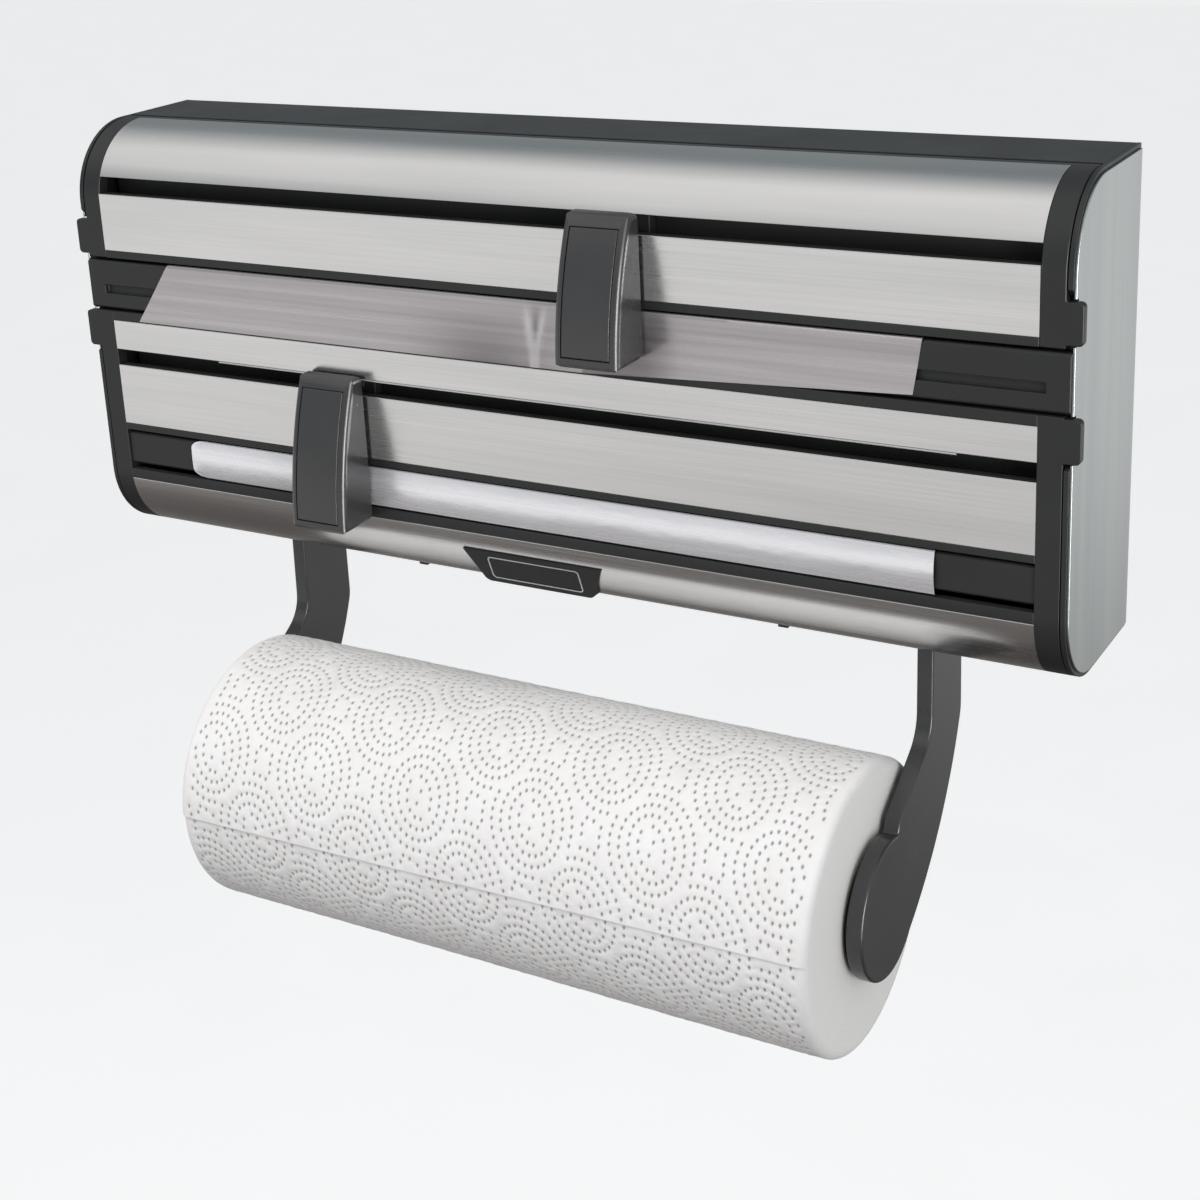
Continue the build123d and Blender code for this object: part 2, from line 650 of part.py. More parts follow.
# Loose end of the foil, down over the foil bar.
with BuildPart() as foil_tail:
    tail_front = FRONT + 0.3
    tail_top = BAR_TOP + 0.2 + TAIL_T
    block(FOIL_TAIL_X, (tail_front, tail_front + TAIL_T), (E_LIP + 0.7, tail_top))
    block(FOIL_TAIL_X, (tail_front, TAIL_TUCK), (tail_top - TAIL_T, tail_top))
save(foil_tail, "foil_tail")

# ---- arms for the kitchen roll, sliding sideways under the housing ----
foot_low = ARM_TOP - FOOT_T
with BuildPart() as right_arm:
    with BuildSketch(Plane.YZ.offset(ARM_INNER)):
        with BuildLine():
            Line((ARM_FRONT, ARM_TOP), (ARM_REAR, ARM_TOP))
            Line((ARM_REAR, ARM_TOP), (ARM_REAR, ARM_BEND_Z))
            SagittaArc((ARM_REAR, ARM_BEND_Z), PAD_REAR, ARM_SAG)
            Line(PAD_REAR, (PAD_Y, PAD_Z))
            Line((PAD_Y, PAD_Z), PAD_TOP)
            Line(PAD_TOP, ARM_NICK)
            Line(ARM_NICK, (ARM_FRONT - 1.0, ARM_BEND_Z + 2.0))
            Line((ARM_FRONT - 1.0, ARM_BEND_Z + 2.0), (ARM_FRONT, ARM_TOP))
        make_face()
        with Locations((PAD_Y, PAD_Z)):
            Circle(PAD_R)
        corners = vertices().filter_by(
            lambda v: ARM_BEND_Z - 1.0 < v.Y < ARM_BEND_Z + 3.0
        )
        fillet(corners, ARM_BEND_R)
    extrude(amount=ARM_T)
save(right_arm, "right_arm")

# Plug on the arm's pad that the roll's cardboard core turns on.
with BuildPart() as right_arm_hub:
    with BuildSketch(Plane.YZ.offset(HUB_INNER)):
        with Locations((KITCHEN_Y, KITCHEN_Z)):
            Circle(HUB_R)
            Circle(HUB_R - HUB_WALL, mode=Mode.SUBTRACT)
    extrude(amount=ARM_INNER - HUB_INNER)
    with BuildSketch(Plane.YZ.offset(ARM_INNER)):
        with Locations((KITCHEN_Y, KITCHEN_Z)):
            Circle(HUB_R - HUB_WALL)
    extrude(amount=-HUB_WALL)
    rim_edges = right_arm_hub.edges().group_by(Axis.X)[0].sort_by(SortBy.RADIUS)
    chamfer(rim_edges[-1], HUB_CHAMFER)
save(right_arm_hub, "right_arm_hub")

# Foot that slides in the guides, with a stop hook at its inner end.
with BuildPart() as right_arm_foot:
    block((FOOT_INNER, ARM_INNER), (FOOT_FRONT, FOOT_REAR), (foot_low, ARM_TOP))
    block((FOOT_INNER, FOOT_INNER + HOOK_T), HOOK_Y, (foot_low - HOOK_DROP, foot_low))
save(right_arm_foot, "right_arm_foot")

with BuildPart() as right_foot_guides:
    lip_top = foot_low - 0.4
    lip_low = lip_top - GUIDE_LIP
    reach = (GUIDE_INNER, GUIDE_OUTER)
    front_wall = (FOOT_FRONT - 0.4 - GUIDE_WALL, FOOT_FRONT - 0.4)
    rear_wall = (FOOT_REAR + 0.4, FOOT_REAR + 0.4 + GUIDE_WALL)
    block(reach, front_wall, (lip_low, -HALF_HEIGHT))
    block(reach, (front_wall[0], FOOT_FRONT + GUIDE_WALL), (lip_low, lip_top))
    block(reach, rear_wall, (lip_low, -HALF_HEIGHT))
    block(reach, (FOOT_REAR - GUIDE_WALL, rear_wall[1]), (lip_low, lip_top))
save(right_foot_guides, "right_foot_guides")

with BuildPart() as left_arm:
    mirror(right_arm.part, about=Plane.YZ)
save(left_arm, "left_arm")

with BuildPart() as left_arm_hub:
    mirror(right_arm_hub.part, about=Plane.YZ)
save(left_arm_hub, "left_arm_hub")

with BuildPart() as left_arm_foot:
    mirror(right_arm_foot.part, about=Plane.YZ)
save(left_arm_foot, "left_arm_foot")

with BuildPart() as left_foot_guides:
    mirror(right_foot_guides.part, about=Plane.YZ)
save(left_foot_guides, "left_foot_guides")

# ---- kitchen roll ----
with BuildPart() as kitchen_roll_core:
    with BuildSketch(Plane.YZ.offset(-KITCHEN_HALF)):
        with Locations((KITCHEN_Y, KITCHEN_Z)):
            Circle(KITCHEN_CORE_OUTER)
            Circle(KITCHEN_CORE_INNER, mode=Mode.SUBTRACT)
    extrude(amount=2 * KITCHEN_HALF)
save(kitchen_roll_core, "kitchen_roll_core")

with BuildPart() as kitchen_roll_paper:
    with BuildSketch(Plane.YZ.offset(-KITCHEN_HALF)):
        with Locations((KITCHEN_Y, KITCHEN_Z)):
            Circle(KITCHEN_R)
            Circle(KITCHEN_CORE_OUTER, mode=Mode.SUBTRACT)
    extrude(amount=2 * KITCHEN_HALF)
    shoulder_edges = kitchen_roll_paper.edges().filter_by(GeomType.CIRCLE).sort_by(SortBy.RADIUS)
    fillet(shoulder_edges[-2:], SHOULDER_R)
save(kitchen_roll_paper, "kitchen_roll_paper")
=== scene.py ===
import bpy
import bmesh
import json
import math
import numpy as np
from mathutils import Matrix, Vector
from mathutils.geometry import delaunay_2d_cdt


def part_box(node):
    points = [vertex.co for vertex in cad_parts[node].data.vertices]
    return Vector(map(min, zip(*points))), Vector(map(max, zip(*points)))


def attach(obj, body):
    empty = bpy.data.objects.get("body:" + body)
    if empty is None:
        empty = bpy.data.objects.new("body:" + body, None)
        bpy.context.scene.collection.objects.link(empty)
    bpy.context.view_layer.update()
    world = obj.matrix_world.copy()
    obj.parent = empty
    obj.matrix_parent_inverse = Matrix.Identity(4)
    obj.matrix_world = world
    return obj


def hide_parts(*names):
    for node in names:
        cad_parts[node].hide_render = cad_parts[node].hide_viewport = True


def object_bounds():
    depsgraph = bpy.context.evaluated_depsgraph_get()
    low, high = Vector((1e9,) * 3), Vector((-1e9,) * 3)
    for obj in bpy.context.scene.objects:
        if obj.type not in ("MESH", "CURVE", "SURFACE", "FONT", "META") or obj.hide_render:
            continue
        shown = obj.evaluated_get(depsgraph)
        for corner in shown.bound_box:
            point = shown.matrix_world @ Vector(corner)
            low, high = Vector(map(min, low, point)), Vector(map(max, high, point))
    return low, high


# Looks of the three-in-one wall roll holder. Metres, in the frame's own axes:
# X along the width, +Y into the wall, +Z up.

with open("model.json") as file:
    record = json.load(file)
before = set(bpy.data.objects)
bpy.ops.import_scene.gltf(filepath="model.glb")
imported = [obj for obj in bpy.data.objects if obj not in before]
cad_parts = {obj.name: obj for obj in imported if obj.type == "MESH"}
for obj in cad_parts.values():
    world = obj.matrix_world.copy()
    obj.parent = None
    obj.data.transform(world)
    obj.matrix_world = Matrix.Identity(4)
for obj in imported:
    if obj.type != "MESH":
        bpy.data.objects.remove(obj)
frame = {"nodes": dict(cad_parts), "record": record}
cad_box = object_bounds()

MM = 0.001
REAL_EDGE = math.radians(38.0)      # faces that meet at more than this make an edge
NODES = frame["nodes"]
RECORD = frame["record"]
BODY_OF = {
    node: body for body, members in RECORD["behaviour"]["bodies"].items() for node in members
}
SLOT_OF = {row["node"]: row["material_slot"] for row in RECORD["subparts"]}


# ---------------------------------------------------------------- materials
def new_material(name, colour, metallic, roughness, **sockets):
    """A Principled material with its plain values set on the shader's own sockets."""
    mat = bpy.data.materials.new(name)
    mat.use_nodes = True
    shader = mat.node_tree.nodes["Principled BSDF"]
    shader.inputs["Base Color"].default_value = (*colour, 1.0)
    shader.inputs["Metallic"].default_value = metallic
    shader.inputs["Roughness"].default_value = roughness
    for socket, value in sockets.items():
        shader.inputs[socket.replace("_", " ")].default_value = value
    return mat


def texture(mat, kind, scale, **settings):
    """A procedural texture in object space, stretched by `scale` (cycles per metre)."""
    tree = mat.node_tree
    place = tree.nodes.new("ShaderNodeTexCoord")
    stretch = tree.nodes.new("ShaderNodeMapping")
    stretch.inputs["Scale"].default_value = scale
    pattern = tree.nodes.new(kind)
    pattern.inputs["Scale"].default_value = 1.0
    for socket, value in settings.items():
        pattern.inputs[socket].default_value = value
    tree.links.new(place.outputs["Object"], stretch.inputs["Vector"])
    tree.links.new(stretch.outputs["Vector"], pattern.inputs["Vector"])
    return pattern.outputs[0]


def spread(mat, value, low, high, near=0.3, far=0.7):
    """Maps a texture's value between `near` and `far` to the range `low` to `high`."""
    node = mat.node_tree.nodes.new("ShaderNodeMapRange")
    node.inputs["From Min"].default_value = near
    node.inputs["From Max"].default_value = far
    node.inputs["To Min"].default_value = low
    node.inputs["To Max"].default_value = high
    mat.node_tree.links.new(value, node.inputs["Value"])
    return node.outputs["Result"]


def blend_colours(mat, value, low, high, near=0.3, far=0.7):
    """A colour that runs from `low` to `high` with a texture's value."""
    ramp = mat.node_tree.nodes.new("ShaderNodeValToRGB")
    ramp.color_ramp.elements[0].position = near
    ramp.color_ramp.elements[0].color = (*low, 1.0)
    ramp.color_ramp.elements[1].position = far
    ramp.color_ramp.elements[1].color = (*high, 1.0)
    mat.node_tree.links.new(value, ramp.inputs["Fac"])
    return ramp.outputs["Color"]


def drive(mat, socket, value):
    mat.node_tree.links.new(value, mat.node_tree.nodes["Principled BSDF"].inputs[socket])


def add_bump(mat, value, strength, distance):
    """Bumps the surface by a texture; a second call adds to the first."""
    tree = mat.node_tree
    shader = tree.nodes["Principled BSDF"]
    bump = tree.nodes.new("ShaderNodeBump")
    bump.inputs["Strength"].default_value = strength
    bump.inputs["Distance"].default_value = distance
    tree.links.new(value, bump.inputs["Height"])
    earlier = shader.inputs["Normal"].links
    if earlier:
        tree.links.new(earlier[0].from_socket, bump.inputs["Normal"])
    tree.links.new(bump.outputs["Normal"], shader.inputs["Normal"])


def brushed_metal(name, dark, light, rough, axis, broad=7.0):
    """Steel brushed along one axis: fine parallel scratches and broad soft streaks."""
    scratch_scale = [2600.0] * 3
    scratch_scale[axis] = 14.0
    streak_scale = [90.0] * 3
    streak_scale[axis] = broad
    mat = new_material(name, light, 1.0, sum(rough) / 2)
    scratches = texture(mat, "ShaderNodeTexNoise", scratch_scale, Detail=3.0, Roughness=0.6)
    streaks = texture(mat, "ShaderNodeTexNoise", streak_scale, Detail=2.0, Roughness=0.5)
    drive(mat, "Base Color", blend_colours(mat, streaks, dark, light))
    drive(mat, "Roughness", spread(mat, scratches, rough[0], rough[1]))
    add_bump(mat, scratches, 0.10, 0.00006)
    return mat


def moulded_plastic(name, colour, rough, grain=0.12, specular=0.5):
    """Dark moulded plastic with a fine grain and a little uneven sheen."""
    darker = tuple(c * 0.82 for c in colour)
    mat = new_material(name, colour, 0.0, sum(rough) / 2, Specular_IOR_Level=specular)
    patches = texture(mat, "ShaderNodeTexNoise", (22.0,) * 3, Detail=4.0, Roughness=0.6)
    fine = texture(mat, "ShaderNodeTexNoise", (2300.0,) * 3, Detail=2.0, Roughness=0.5)
    drive(mat, "Base Color", blend_colours(mat, patches, darker, colour))
    drive(mat, "Roughness", spread(mat, patches, rough[0], rough[1]))
    add_bump(mat, fine, grain, 0.00008)
    return mat


def cling_film(name, with_painted_light=False):
    """Thin film over dark plastic: pale, glossy, with streaks along its width.

    With painted light, the sheet is painted paler where its "fold" value is high (a painted highlight on
    its creases) and darker where it is low (painted shade, and a painted reflection of the cutter).
    """
    mat = new_material(name, (0.43, 0.41, 0.42), 0.55, 0.22, Coat_Weight=0.5, Coat_Roughness=0.1)
    streaks = texture(mat, "ShaderNodeTexNoise", (5.0, 60.0, 330.0), Detail=5.0, Roughness=0.6)
    colour = blend_colours(mat, streaks, (0.36, 0.335, 0.345), (0.52, 0.49, 0.50))
    if with_painted_light:
        tree = mat.node_tree
        fold = tree.nodes.new("ShaderNodeAttribute")
        fold.attribute_name = "fold"
        value = fold.outputs["Fac"]
        # painted shade: where the "fold" value is under 0.45 the film is painted darker
        painted_shade_colour = blend_colours(mat, value, (0.45, 0.43, 0.44), (1, 1, 1), 0.0, 0.45)
        mix = tree.nodes.new("ShaderNodeMix")
        mix.data_type = "RGBA"
        mix.blend_type = "MULTIPLY"
        mix.inputs["Factor"].default_value = 1.0
        tree.links.new(colour, mix.inputs["A"])
        tree.links.new(painted_shade_colour, mix.inputs["B"])
        # painted highlight: where the "fold" value is over 0.5 the film is painted paler
        painted_highlight = tree.nodes.new("ShaderNodeMix")
        painted_highlight.data_type = "RGBA"
        tree.links.new(spread(mat, value, 0.0, 0.75, 0.5, 1.0), painted_highlight.inputs["Factor"])
        tree.links.new(mix.outputs["Result"], painted_highlight.inputs["A"])
        painted_highlight.inputs["B"].default_value = (0.62, 0.60, 0.61, 1.0)
        colour = painted_highlight.outputs["Result"]
    drive(mat, "Base Color", colour)
    drive(mat, "Roughness", spread(mat, streaks, 0.17, 0.32))
    add_bump(mat, streaks, 0.2, 0.0003)
    return mat


def rolled_foil(name):
    """Bright rolled aluminium with faint rolling lines and soft dents."""
    mat = new_material(name, (0.88, 0.87, 0.9), 0.6, 0.24)
    lines = texture(mat, "ShaderNodeTexNoise", (6.0, 900.0, 900.0), Detail=3.0, Roughness=0.5)
    dents = texture(mat, "ShaderNodeTexNoise", (28.0, 70.0, 70.0), Detail=3.0, Roughness=0.5)
    drive(mat, "Roughness", spread(mat, lines, 0.18, 0.32))
    add_bump(mat, dents, 0.35, 0.0012)
    add_bump(mat, lines, 0.12, 0.0001)
    return mat


def kitchen_paper(name):
    """Soft white tissue: fibres, a faint mottle, and painted shade in the sunk dots where its plies are
    glued.
    """
    mat = new_material(name, (0.86, 0.85, 0.845), 0.0, 0.92, Sheen_Weight=0.1, Sheen_Roughness=0.6)
    tree = mat.node_tree
    fibres = texture(mat, "ShaderNodeTexNoise", (1500.0,) * 3, Detail=4.0, Roughness=0.7)
    mottle = texture(mat, "ShaderNodeTexNoise", (60.0,) * 3, Detail=3.0, Roughness=0.6)
    pit_shade = tree.nodes.new("ShaderNodeAttribute")
    pit_shade.attribute_name = "pit_shade"
    pit_shaded = tree.nodes.new("ShaderNodeMix")
    pit_shaded.data_type = "RGBA"
    tree.links.new(pit_shade.outputs["Fac"], pit_shaded.inputs["Factor"])
    tree.links.new(
        blend_colours(mat, mottle, (0.765, 0.75, 0.742), (0.82, 0.806, 0.80)), pit_shaded.inputs["A"]
    )
    # painted shade: the floors of the pits are painted dark grey
    pit_shaded.inputs["B"].default_value = (0.27, 0.265, 0.26, 1.0)
    drive(mat, "Base Color", pit_shaded.outputs["Result"])
    drive(mat, "Roughness", spread(mat, fibres, 0.85, 0.98))
    add_bump(mat, fibres, 0.35, 0.00025)
    return mat


def cut_paper_edge(name, centre_y, centre_z):
    """The cut end of a paper roll: many thin layers wound round the axis."""
    mat = new_material(name, (0.84, 0.83, 0.81), 0.0, 0.95)
    tree = mat.node_tree
    place = tree.nodes.new("ShaderNodeTexCoord")
    shift = tree.nodes.new("ShaderNodeMapping")
    shift.inputs["Location"].default_value = (0.0, -centre_y, -centre_z)
    rings = tree.nodes.new("ShaderNodeTexWave")
    rings.wave_type = "RINGS"
    rings.rings_direction = "X"
    rings.inputs["Scale"].default_value = 420.0
    rings.inputs["Distortion"].default_value = 1.2
    rings.inputs["Detail"].default_value = 2.0
    tree.links.new(place.outputs["Object"], shift.inputs["Vector"])
    tree.links.new(shift.outputs["Vector"], rings.inputs["Vector"])
    layers = rings.outputs["Fac"]
    colour = blend_colours(mat, layers, (0.78, 0.77, 0.745), (0.87, 0.86, 0.84), 0.1, 0.9)
    drive(mat, "Base Color", colour)
    add_bump(mat, layers, 0.3, 0.00015)
    fibres = texture(mat, "ShaderNodeTexNoise", (900.0,) * 3, Detail=3.0, Roughness=0.6)
    add_bump(mat, fibres, 0.25, 0.0002)
    return mat


def cardboard(name):
    mat = new_material(name, (0.42, 0.31, 0.2), 0.0, 0.9)
    flecks = texture(mat, "ShaderNodeTexNoise", (700.0,) * 3, Detail=5.0, Roughness=0.7)
    drive(mat, "Base Color", blend_colours(mat, flecks, (0.33, 0.24, 0.15), (0.5, 0.38, 0.26)))
    add_bump(mat, flecks, 0.3, 0.0001)
    return mat


GREY = (0.024, 0.0245, 0.025)
STEEL = brushed_metal("band_steel", (0.69, 0.685, 0.675), (0.76, 0.752, 0.74), (0.18, 0.28), axis=0)
SKIN = brushed_metal(
    "side_skin", (0.42, 0.45, 0.45), (0.48, 0.515, 0.51), (0.30, 0.38), axis=2, broad=4.0
)
PIN_STEEL = brushed_metal("pin_steel", (0.5, 0.5, 0.5), (0.6, 0.6, 0.6), (0.25, 0.35), axis=0)
PLASTIC = moulded_plastic("grey_plastic", GREY, (0.34, 0.46), specular=0.36)
SATIN = moulded_plastic("satin_plastic", (0.047, 0.047, 0.048), (0.22, 0.3), grain=0.04)
BADGE_BLACK = moulded_plastic("badge_black", (0.007, 0.007, 0.007), (0.28, 0.38), specular=0.3)
BLACK = moulded_plastic("channel_black", (0.012, 0.012, 0.013), (0.5, 0.65))
FILM = cling_film("cling_film")
FILM_PAINTED_LIGHT = cling_film("cling_film_painted_light", with_painted_light=True)
FOIL = rolled_foil("foil")
PAPER = kitchen_paper("kitchen_paper")
CARDBOARD = cardboard("cardboard")

MATERIALS = {
    "band_steel": STEEL,
    "side_skin": SKIN,
    "pin_steel": PIN_STEEL,
    "grey_plastic": PLASTIC,
    "satin_plastic": SATIN,
    "channel_black": BLACK,
    "cling_film": FILM,
    "foil": FOIL,
    "kitchen_paper": PAPER,
    "cardboard": CARDBOARD,
}


# ---------------------------------------------------------------- building pieces
def link(name, mesh, material, body):
    """Puts a finished mesh in the scene as a piece that rides on a body."""
    piece = bpy.data.objects.new(name, mesh)
    bpy.context.scene.collection.objects.link(piece)
    mesh.materials.clear()
    mesh.materials.append(material)
    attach(piece, body)
    return piece


def stand_for(node, name, mesh, material):
    """A new piece in place of a CAD node, on that node's body and with its finish."""
    piece = link(name, mesh, material, BODY_OF[node])
    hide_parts(node)
    return piece


def mesh_from(name, points, faces, sharp=40.0):
    mesh = bpy.data.meshes.new(name)
    mesh.from_pydata([tuple(p) for p in points], [], faces)
    mesh.validate()
    bm = bmesh.new()
    bm.from_mesh(mesh)
    bmesh.ops.recalc_face_normals(bm, faces=bm.faces)
    bm.to_mesh(mesh)
    bm.free()
    shade(mesh, sharp)
    return mesh


def shade(mesh, sharp):
    """Smooth shading that stays crisp at edges sharper than `sharp` degrees."""
    mesh.shade_smooth()
    mesh.set_sharp_from_angle(angle=math.radians(sharp))


def round_edges(piece, width, lengthwise):
    """A small rounding on every real edge, or only on those along X, with flat faces kept flat."""
    edges = piece.modifiers.new("rounded_edges", "BEVEL")
    edges.width = width
    edges.segments = 3
    edges.harden_normals = True
    edges.miter_outer = "MITER_ARC"
    if not lengthwise:
        edges.limit_method = "ANGLE"
        edges.angle_limit = REAL_EDGE
        return
    bm = bmesh.new()
    bm.from_mesh(piece.data)
    weights = []
    for edge in bm.edges:
        span = edge.verts[1].co - edge.verts[0].co
        runs_along = abs(span.x) > 0.9 * span.length
        weights.append(float(runs_along and edge.calc_face_angle(0.0) > REAL_EDGE))
    bm.free()
    kept = piece.data.attributes.new("bevel_weight_edge", "FLOAT", "EDGE")
    kept.data.foreach_set("value", weights)
    edges.limit_method = "WEIGHT"


def refine(node, width, material, lengthwise):
    """A CAD node's own shape with cleaned faces and rounded edges (width in mm)."""
    bm = bmesh.new()
    bm.from_mesh(NODES[node].data)
    bmesh.ops.remove_doubles(bm, verts=bm.verts, dist=0.002 * MM)
    bmesh.ops.dissolve_limit(bm, angle_limit=math.radians(0.4), verts=bm.verts, edges=bm.edges)
    mesh = bpy.data.meshes.new(node + "_mesh")
    bm.to_mesh(mesh)
    bm.free()
    for layer in ("custom_normal", "sharp_face"):
        if layer in mesh.attributes:
            mesh.attributes.remove(mesh.attributes[layer])
    shade(mesh, 35.0)
    piece = stand_for(node, node + "_look", mesh, material or MATERIALS[SLOT_OF[node]])
    if width:
        round_edges(piece, width * MM, lengthwise)


def sheet_mesh(name, front, thickness, sharp=30.0):
    """A thin closed sheet: `front` is a rows x columns grid of points, thickened towards +Y."""
    rows, columns = front.shape[:2]
    rear = front + np.array([0.0, thickness, 0.0])
    points = np.concatenate([front.reshape(-1, 3), rear.reshape(-1, 3)])
    index = np.arange(rows * columns).reshape(rows, columns)
    behind = index + rows * columns
    faces = []
    for r in range(rows - 1):
        for c in range(columns - 1):
            corners = [(r, c), (r, c + 1), (r + 1, c + 1), (r + 1, c)]
            faces.append([index[k] for k in corners])
            faces.append([behind[k] for k in reversed(corners)])
    rim = [(0, c) for c in range(columns)] + [(r, columns - 1) for r in range(1, rows)]
    rim += [(rows - 1, c) for c in range(columns - 2, -1, -1)]
    rim += [(r, 0) for r in range(rows - 2, 0, -1)]
    for here, following in zip(rim, rim[1:] + rim[:1]):
        faces.append([index[here], behind[here], behind[following], index[following]])
    return mesh_from(name, points, [[int(i) for i in f] for f in faces], sharp)


def along(low, high, share):
    return low + (high - low) * share


# ---------------------------------------------------------------- loose end of the film
FILM_ROWS = 34
FILM_COLUMNS = 420
FILM_TUCKED = 0.22          # share of the rows that lie on top of the beam
FILM_SKEW_LEFT = 17.0 * MM  # how far the torn ends run askew over the drop
FILM_SKEW_RIGHT = 3.0 * MM
FILM_RISE = 5.2 * MM        # of its foot, from the cutter to the right end
FILM_CORNER = 0.8 * MM      # rounding where it bends over the beam's edge
FILM_WAVES = (31.0 * MM, 12.5 * MM)     # its long and its short swell
FILM_SWELL = 0.12           # in mm, as are the next two
FILM_CREASE = 0.22
FILM_SAG = 0.12
# Each fold: X of its upper end and of its foot, from the cutter's left side, and its width.
# these folds bend the sheet and carry a painted highlight
PAINTED_HIGHLIGHT_FOLDS = (
    (-21.0 * MM, -18.5 * MM, 1.6 * MM),
    (-12.7 * MM, -18.9 * MM, 1.3 * MM),
)
# a crease shown only as painted shade; it does not bend the sheet
PAINTED_SHADE_FOLD = (-16.6 * MM, -18.8 * MM, 2.2 * MM)
PAINTED_SHADE_X = 38.0 * MM         # middle of the painted shade left of the cutter
PAINTED_SHADE_WIDTH = 24.0 * MM
KNOB_REFLECTION_WIDTH = 13.0 * MM       # of the painted reflection of the cutter, a dim patch right of it


def ridge(x, z, z_range, start_x, fold):
    """1 along a straight fold, counted from `start_x`, and fading to both sides of it."""
    top = start_x + fold[0]
    foot = start_x + fold[1]
    line = top + (foot - top) * (z_range[1] - z) / (z_range[1] - z_range[0])
    return np.exp(-(((x - line) / fold[2]) ** 2))


def make_film_tail():
    low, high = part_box("film_tail")
    knob_low, knob_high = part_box("upper_cutter_shell")
    front = low.y + 0.22 * MM
    heights = (low.z, high.z)
    grid = np.zeros((FILM_ROWS, FILM_COLUMNS, 3))
    painted_light = np.zeros((FILM_ROWS, FILM_COLUMNS))
    for r in range(FILM_ROWS):
        share = r / (FILM_ROWS - 1)
        drop = max(0.0, (share - FILM_TUCKED) / (1 - FILM_TUCKED))
        tuck = min(1.0, share / FILM_TUCKED)
        x_left = along(low.x + FILM_SKEW_LEFT, low.x, drop)
        x_right = along(high.x, high.x - FILM_SKEW_RIGHT, drop)
        x = np.linspace(x_left, x_right, FILM_COLUMNS)
        lift = FILM_RISE * np.clip((x - knob_low.x) / (x_right - knob_low.x), 0, 1)
        z = along(high.z - 0.1 * MM, low.z + lift, drop) * np.ones(FILM_COLUMNS)
        y = np.full(FILM_COLUMNS, along(high.y, front, tuck))
        if drop == 0.0:
            bend = np.clip((y - front) / FILM_CORNER, 0, 1)
            z -= FILM_CORNER * (1 - np.sqrt(bend * (2 - bend))) * 0.6
        hang = min(1.0, drop * 3.0)
        crease = np.minimum(sum(ridge(x, z, heights, knob_low.x, fold) for fold in PAINTED_HIGHLIGHT_FOLDS), 1.0)
        swell = np.sin(x / FILM_WAVES[0] + 3.0 * drop) * 0.5
        swell = swell + np.sin(x / FILM_WAVES[1] - 2.0 * drop) * 0.25
        y -= hang * (FILM_SWELL * swell + FILM_CREASE * crease) * MM
        y += hang * FILM_SAG * np.sin(drop * math.pi) * MM
        grid[r, :, 0] = x
        grid[r, :, 1] = y
        grid[r, :, 2] = z
        # painted shade left of the cutter and in the dark crease, and a painted reflection of the cutter
        # right of it
        painted_darkening = np.exp(-(((x - (knob_low.x - PAINTED_SHADE_X)) / PAINTED_SHADE_WIDTH) ** 2)) * drop
        painted_darkening += 0.7 * ridge(x, z, heights, knob_low.x, PAINTED_SHADE_FOLD)
        painted_darkening += 0.8 * np.clip(1 - (x - knob_high.x) / KNOB_REFLECTION_WIDTH, 0, 1) * (x > knob_low.x)
        # painted light: 0.45 is the plain film, the creases are painted pale as a highlight, the shaded
        # parts painted darker
        painted_light[r] = np.clip(0.45 + hang * (0.75 * crease - 0.45 * painted_darkening), 0, 1)
    mesh = sheet_mesh("film_tail_mesh", grid, 0.1 * MM)
    # the painted light goes to the film's material as its "fold" value
    painted_light_layer = mesh.attributes.new("fold", "FLOAT", "POINT")
    painted_light_layer.data.foreach_set("value", np.concatenate([painted_light.ravel(), painted_light.ravel()]).astype(np.float32))
    stand_for("film_tail", "film_loose_end", mesh, FILM_PAINTED_LIGHT)


# ---------------------------------------------------------------- loose end of the foil
FOIL_ROWS = 40
FOIL_COLUMNS = 300
FOIL_TUCKED = 0.16
FOIL_BULGE = 1.15 * MM
FOIL_SHOULDER = 0.55        # share of the half height where the left end starts to round off
FOIL_END_ROUND = 6.5 * MM
FOIL_END_CURL = 0.75 * MM   # how much the bulge lessens at the left end
FOIL_CURL_REACH = 3.0 * MM
FOIL_RIPPLE = 0.05 * MM
FOIL_WAVE = 21.0 * MM


def make_foil_tail():
    low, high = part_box("foil_tail")
    grid = np.zeros((FOIL_ROWS, FOIL_COLUMNS, 3))
    for r in range(FOIL_ROWS):
        share = r / (FOIL_ROWS - 1)
        drop = max(0.0, (share - FOIL_TUCKED) / (1 - FOIL_TUCKED))
        tuck = min(1.0, share / FOIL_TUCKED)
        across = max(0.0, (abs(2 * drop - 1) - FOIL_SHOULDER) / (1 - FOIL_SHOULDER))
        x_left = low.x + FOIL_END_ROUND
        if drop > 0:
            x_left = low.x + FOIL_END_ROUND * (1 - math.sqrt(1 - across**2))
        share_x = np.linspace(0, 1, FOIL_COLUMNS) ** 1.15
        x = along(x_left, high.x, share_x)
        z = along(high.z - 0.1 * MM, low.z, drop) * np.ones(FOIL_COLUMNS)
        y = np.full(FOIL_COLUMNS, along(high.y, low.y + 0.3 * MM, tuck))
        bulge = math.sin(math.pi * drop) ** 0.85 if 0 < drop < 1 else 0.0
        end_curl = FOIL_END_CURL * np.exp(-(((x - x_left) / FOIL_CURL_REACH) ** 2))
        ripple = FOIL_RIPPLE * np.sin(x / FOIL_WAVE + 2.6 * drop)
        y -= bulge * (FOIL_BULGE + ripple - end_curl)
        grid[r, :, 0] = x
        grid[r, :, 1] = y
        grid[r, :, 2] = z
    mesh = sheet_mesh("foil_tail_mesh", grid, 0.1 * MM)
    stand_for("foil_tail", "foil_loose_end", mesh, FOIL)


